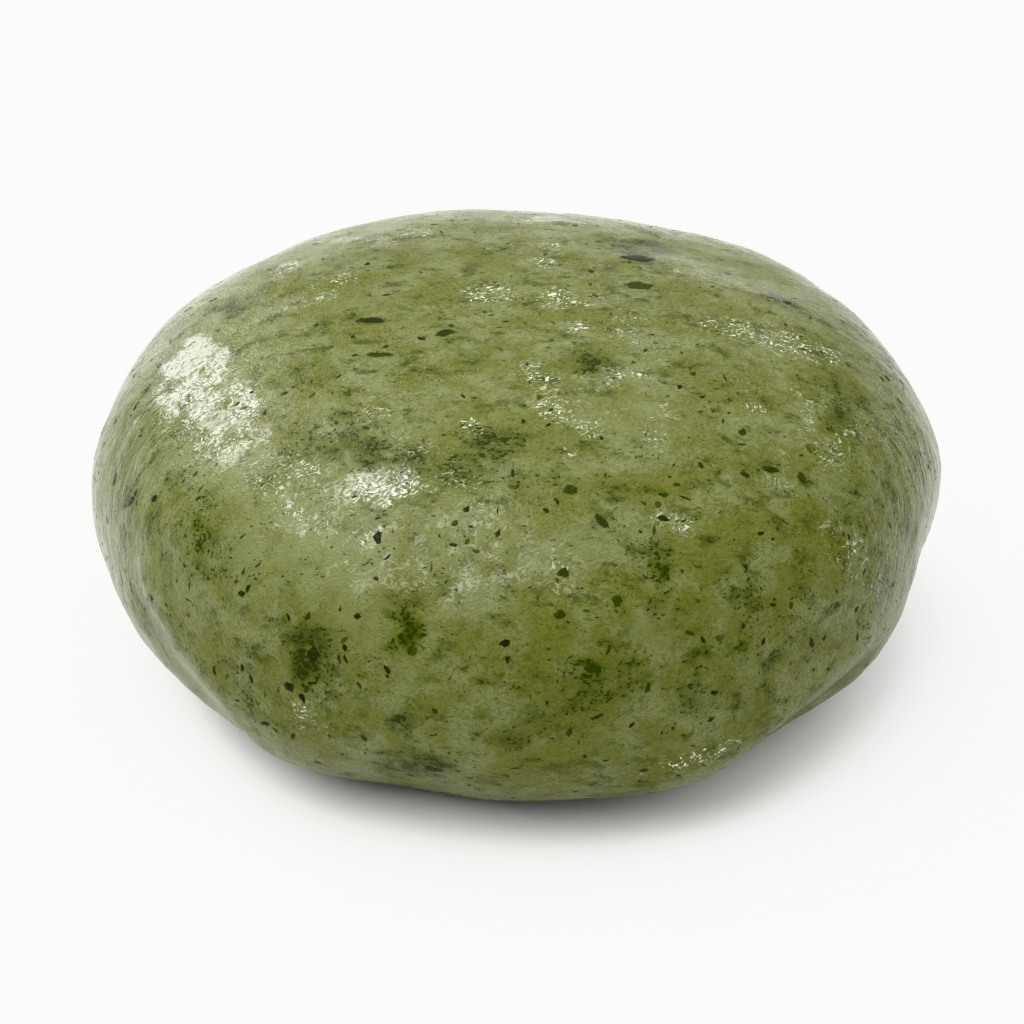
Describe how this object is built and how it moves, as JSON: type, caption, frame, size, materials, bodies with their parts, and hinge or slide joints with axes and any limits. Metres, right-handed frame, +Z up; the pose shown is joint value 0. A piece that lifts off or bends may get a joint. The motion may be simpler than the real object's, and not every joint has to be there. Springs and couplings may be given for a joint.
{
  "type": "mugwort rice cake",
  "caption": "Thick round hand-patted cake of glossy green rice dough with flecks of leaf, flat-topped with a bulging side and a tucked-under base that rests flat.",
  "frame": {"origin": "middle of the footprint, on the plane the cake rests on", "axes": "+Z up through the top of the cake, -Y the front, +X to the right seen from the front"},
  "size_m": [0.0594, 0.0574, 0.0267],
  "materials": {
    "dough": null
  },
  "bodies": {
    "root": {"mochi": "dough"}
  },
  "joints": []
}
